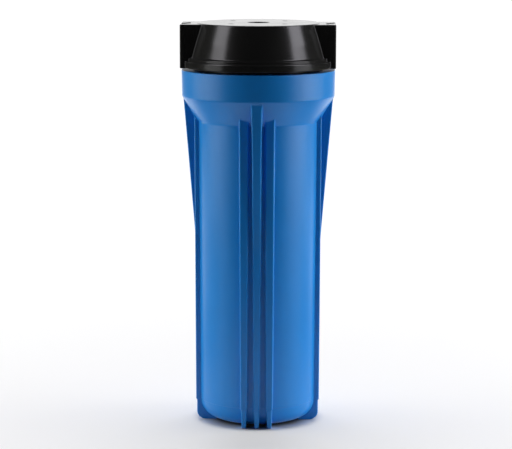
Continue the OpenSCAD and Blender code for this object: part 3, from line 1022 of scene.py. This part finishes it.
def plastic(name, dark, light, rough_low, rough_high, grain=900, grain_depth=0.00002, wave=0.00004):
    """Moulded plastic: slight change of tone, uneven gloss, a fine grain and slow waves in the skin."""
    m, nt, bsdf = new_material(name)
    tone = blend_colours(nt, noise(nt, 18, 4, 0.55), dark, light)
    gloss = spread(nt, noise(nt, 55, 5, 0.6, (1, 1, 0.35)), rough_low, rough_high)
    fine = bump(nt, noise(nt, grain, 2), grain_depth, 0.35)
    skin = bump(nt, noise(nt, 45, 2), wave, 0.5, fine)
    set_inputs(nt, bsdf, links={"Base Color": tone, "Roughness": gloss, "Normal": skin})
    return m


def bare_metal(name, dark, rough_low, rough_high, stretch):
    """Bare metal with fine drawing or turning marks."""
    m, nt, bsdf = new_material(name)
    light = tuple(min(1.0, c * 1.15) for c in dark)
    tone = blend_colours(nt, noise(nt, 300, 3), dark, light)
    marks = noise(nt, 1500, 4, 0.6, stretch)
    gloss = spread(nt, marks, rough_low, rough_high)
    skin = bump(nt, marks, 0.00001, 0.5)
    set_inputs(nt, bsdf, {"Metallic": 1.0}, {"Base Color": tone, "Roughness": gloss, "Normal": skin})
    return m


def non_woven(name, dark, light):
    """Felted fibres: cloudy tone and a fine fibrous relief."""
    m, nt, bsdf = new_material(name)
    clouds = noise(nt, 160, 5, 0.65)
    tone = blend_colours(nt, clouds, dark, light)
    fibres = noise(nt, 2600, 6, 0.75, (1, 1, 0.4))
    skin = bump(nt, fibres, 0.00006, 0.8, bump(nt, clouds, 0.00015, 0.4))
    look = {"Roughness": 0.92, "Specular IOR Level": 0.2}
    set_inputs(nt, bsdf, look, {"Base Color": tone, "Normal": skin})
    return m


def dress(obj, material, body, slot, *nodes):
    obj.data.materials.clear()
    obj.data.materials.append(material)
    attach(obj, body)
    if nodes:
        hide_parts(*nodes)
    return obj


blue = plastic("blue_plastic", (0.003, 0.176, 0.56), (0.004, 0.190, 0.60), 0.28, 0.36)
black = plastic("black_plastic", (0.009, 0.009, 0.0093), (0.011, 0.011, 0.0113), 0.17, 0.22,
                grain_depth=0.000004, wave=0.000006)
red = plastic("red_plastic", (0.42, 0.012, 0.01), (0.5, 0.018, 0.014), 0.2, 0.3)
white = plastic("white_plastic", (0.72, 0.72, 0.69), (0.8, 0.8, 0.77), 0.4, 0.55)
rubber = plastic("rubber", (0.012, 0.012, 0.013), (0.02, 0.02, 0.021), 0.25, 0.5, grain=1400)
gasket_rubber = plastic("gasket_rubber", (0.04, 0.04, 0.042), (0.06, 0.06, 0.062), 0.6, 0.8, grain=1600)
medium = non_woven("filter_medium", (0.72, 0.72, 0.69), (0.86, 0.86, 0.83))
wire = bare_metal("spring_wire", (0.55, 0.55, 0.54), 0.22, 0.38, (1, 1, 3))
turned = bare_metal("turned_steel", (0.6, 0.6, 0.58), 0.2, 0.34, (0.3, 0.3, 2))

dress(build_sump(), blue, "bowl", "blue_plastic", "sump")
dress(build_cap(), black, "head", "black_plastic", "cap")
dress(build_button(), red, "relief_valve", "red_plastic", "relief_button")
spring = dress(build_spring(), wire, "head", "steel", "relief_spring")
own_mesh(spring)
dress(build_stem_seal(), rubber, "relief_valve", "rubber", "relief_seal")
dress(build_washer(), turned, "relief_valve", "steel", "relief_washer")
dress(build_nut(), turned, "relief_valve", "steel", "relief_nut")
dress(build_bowl_seal(), rubber, "bowl", "rubber", "sump_o_ring")
top_face_z = CARTRIDGE_TOP_Z - GASKET_H
for name, node, low in (("lower_gasket", "cartridge_bottom_gasket", CARTRIDGE_Z),
                        ("upper_gasket", "cartridge_top_gasket", top_face_z)):
    dress(build_gasket(name, low), gasket_rubber, "cartridge", "gasket_rubber", node)
for name, node, face_z, way in (("lower_end_cap", "cartridge_bottom_cap", CARTRIDGE_Z + GASKET_H, 1),
                                ("upper_end_cap", "cartridge_top_cap", top_face_z, -1)):
    dress(build_end_cap(name, face_z, way), white, "cartridge", "white_plastic", node)
dress(build_core(), white, "cartridge", "white_plastic", "cartridge_core")
dress(build_cage(), white, "cartridge", "white_plastic", "cartridge_cage")
dress(build_pleats(), medium, "cartridge", "filter_medium", "cartridge_pleats")

# ---------- stage, lights and camera

scene = bpy.context.scene
scene.view_settings.view_transform = "Standard"


def smooth_range(nt, value, start, end, low=0.0, high=1.0):
    return map_range(nt, value, start, end, low, high, "SMOOTHSTEP")


def mix_shaders(nt, share, first, second):
    return add_node(nt, "MixShader", links={"Fac": share, 1: first, 2: second}).outputs["Shader"]


def distance_from(nt, point, centre):
    """Length of the way from a fixed centre to the shaded point."""
    away = add_node(nt, "VectorMath", {1: centre}, {0: point})
    away.operation = "SUBTRACT"
    length = add_node(nt, "VectorMath", links={0: away.outputs["Vector"]})
    length.operation = "LENGTH"
    return length.outputs["Value"]


FLOOR_HALF = 12.0
FADE_CENTRE = (0, -0.1, 0)
FADE_START = 0.16
FADE_END = 0.78
SEEN_WHITE = 1.05


def build_floor():
    """A pale table top. The camera sees it fade into the white surroundings; near the object a share of
    white glow is painted light that lifts its shade, and under the feet a dark sheet is a painted shadow.
    For dull surfaces it is a table that ends within about half a metre of the object, and glossy ones also
    see it shine behind the object."""
    corners = [(x * FLOOR_HALF, y * FLOOR_HALF, 0) for x, y in ((-1, -1), (1, -1), (1, 1), (-1, 1))]
    mesh = bpy.data.meshes.new("floor")
    mesh.from_pydata(corners, [], [(0, 1, 2, 3)])
    obj = new_object("floor", mesh)
    material, nt, bsdf = new_material("floor")
    nt.nodes.remove(bsdf)
    table = add_node(nt, "BsdfDiffuse", {"Color": (0.765, 0.76, 0.80, 1)}).outputs["BSDF"]
    dark = add_node(nt, "BsdfDiffuse", {"Color": (0.05, 0.05, 0.05, 1)}).outputs["BSDF"]
    white = add_node(nt, "Emission", {"Strength": SEEN_WHITE}).outputs["Emission"]
    bright = add_node(nt, "Emission", {"Strength": 1.4}).outputs["Emission"]
    point = add_node(nt, "TexCoord").outputs["Object"]
    place = add_node(nt, "SeparateXYZ", links={"Vector": point})
    path = add_node(nt, "LightPath")
    from_fade = distance_from(nt, point, FADE_CENTRE)
    from_axis = distance_from(nt, point, (0, 0, 0))
    # For the camera. Painted shadow: a dark sheet under the bowl stands for its contact shadow
    painted_contact_shadow = mix_shaders(nt, smooth_range(nt, from_axis, 0.03, 0.045), dark, table)
    # Painted light: white glow mixed into the table near the object lifts the shade the lamps leave there
    painted_glow_lift = mix_shaders(nt, smooth_range(nt, from_fade, 0.0, 0.06, 0.19, 0.37), table, white)
    beside = mix_shaders(nt, smooth_range(nt, from_axis, 0.042, 0.053), painted_contact_shadow, painted_glow_lift)
    seen = mix_shaders(nt, smooth_range(nt, from_fade, FADE_START, FADE_END), beside, white)
    # For the light
    lit = mix_shaders(nt, smooth_range(nt, from_fade, 0.15, 0.42), table, dark)
    # For reflections: bright behind the object, except far out to the sides
    sideways = add_node(nt, "Math", links={0: place.outputs["X"]})
    sideways.operation = "ABSOLUTE"
    shine = add_node(nt, "Math", links={0: smooth_range(nt, place.outputs["Y"], 0.0, 0.5),
                                        1: smooth_range(nt, sideways.outputs["Value"], 0.9, 1.25, 1.0, 0.0)})
    shine.operation = "MULTIPLY"
    mirrored = mix_shaders(nt, shine.outputs["Value"], lit, bright)
    unseen = mix_shaders(nt, path.outputs["Is Glossy Ray"], lit, mirrored)
    both = mix_shaders(nt, path.outputs["Is Camera Ray"], unseen, seen)
    nt.links.new(both, nt.nodes["Material Output"].inputs["Surface"])
    mesh.materials.append(material)


def build_world():
    """White surroundings for the camera. Reflections see them only behind the object, and the room
    in front and at the sides as nearly black. Dull surfaces get a dim even light."""
    world = bpy.data.worlds.new("studio")
    scene.world = world
    world.use_nodes = True
    nt = world.node_tree
    nt.nodes.remove(nt.nodes["Background"])

    def even(strength, colour=(1, 1, 1)):
        node = add_node(nt, "Background", {"Color": (*colour, 1), "Strength": strength})
        return node.outputs["Background"]

    coords = add_node(nt, "TexCoord")
    split = add_node(nt, "SeparateXYZ", links={"Vector": coords.outputs["Generated"]})
    glow = smooth_range(nt, split.outputs["Y"], 0.5, 0.87, 0.03, 1.35)
    room = add_node(nt, "Background", {"Color": (1, 1, 1, 1)}, {"Strength": glow}).outputs["Background"]
    path = add_node(nt, "LightPath")
    lit = mix_shaders(nt, path.outputs["Is Diffuse Ray"], room, even(0.06, (0.95, 0.97, 1.0)))
    out = mix_shaders(nt, path.outputs["Is Camera Ray"], lit, even(SEEN_WHITE))
    nt.links.new(out, nt.nodes["World Output"].inputs["Surface"])


# Softboxes: azimuth from the camera's side in degrees, distance, height, width, tall and the height
# aimed at in metres, power in watts, colour, and what the box is for. Those for gloss show in
# reflections only, and those for shade light dull surfaces only.
SOFTBOXES = {
    "left_gloss": (-69, 1.15, 0.32, 0.62, 0.62, 0.16, 1.4, (1, 1, 1), "gloss"),
    "right_gloss": (70, 1.15, 0.32, 0.62, 0.62, 0.16, 1.8, (0.95, 0.95, 1.0), "gloss"),
    "left_high_gloss": (-70.3, 1.15, 1.08, 0.64, 0.92, 0.16, 7.2, (0.97, 0.95, 1.0), "gloss"),
    "right_high_gloss": (74.6, 1.15, 1.08, 0.64, 0.92, 0.16, 9.0, (0.94, 0.92, 1.0), "gloss"),
    "left_shade": (-97, 1.2, 0.2, 0.7, 0.36, 0.16, 12.1, (1.0, 0.98, 0.83), "shade"),
    "right_shade": (97, 1.2, 0.2, 0.7, 0.36, 0.16, 15.0, (0.98, 0.98, 0.87), "shade"),
    "left_front_shade": (-70, 1.2, 0.3, 0.6, 0.5, 0.16, 3.0, (1, 1, 1), "shade"),
    "right_front_shade": (70, 1.2, 0.3, 0.6, 0.5, 0.16, 3.5, (1, 1, 1), "shade"),
    "top_shade": (180, 0.4, 1.3, 1.0, 0.7, 0.05, 14.3, (1, 1, 1), "shade"),
}


def build_softbox(name, azimuth, distance, height, width, tall, aim, power, colour, use):
    a = math.radians(azimuth)
    data = bpy.data.lights.new(name, "AREA")
    data.shape = "RECTANGLE"
    data.size = width
    data.size_y = tall
    data.energy = power
    data.color = colour
    obj = new_object(name, data)
    obj.location = (distance * math.sin(a), -distance * math.cos(a), height)
    look = Vector((0, 0, aim)) - obj.location
    obj.rotation_euler = look.to_track_quat("-Z", "Y").to_euler()
    obj.visible_camera = False
    obj.visible_diffuse = use == "shade"
    obj.visible_glossy = use == "gloss"


# The camera stands a little to the right and looks a little down; distances in metres, angles in degrees
CAMERA_DISTANCE = 1.59633
CAMERA_HEIGHT = 0.39943
CAMERA_AZIMUTH = 1.2
CAMERA_PAN = 0.0578
CAMERA_DIP = 8.866
CAMERA_ROLL = 0.1
LENS_MM = 148.12


def build_camera():
    data = bpy.data.cameras.new("camera")
    data.sensor_width = 36
    data.lens = LENS_MM
    camera = new_object("camera", data)
    scene.camera = camera
    azimuth = math.radians(CAMERA_AZIMUTH)
    away = CAMERA_DISTANCE
    camera.location = (away * math.sin(azimuth), -away * math.cos(azimuth), CAMERA_HEIGHT)
    turn = Matrix.Rotation(azimuth + math.radians(CAMERA_PAN), 3, "Z")
    tilt = Matrix.Rotation(math.radians(90 - CAMERA_DIP), 3, "X")
    roll = Matrix.Rotation(math.radians(CAMERA_ROLL), 3, "Z")
    camera.rotation_euler = (turn @ tilt @ roll).to_euler()


build_floor()
build_world()
for name, settings in SOFTBOXES.items():
    build_softbox(name, *settings)
build_camera()
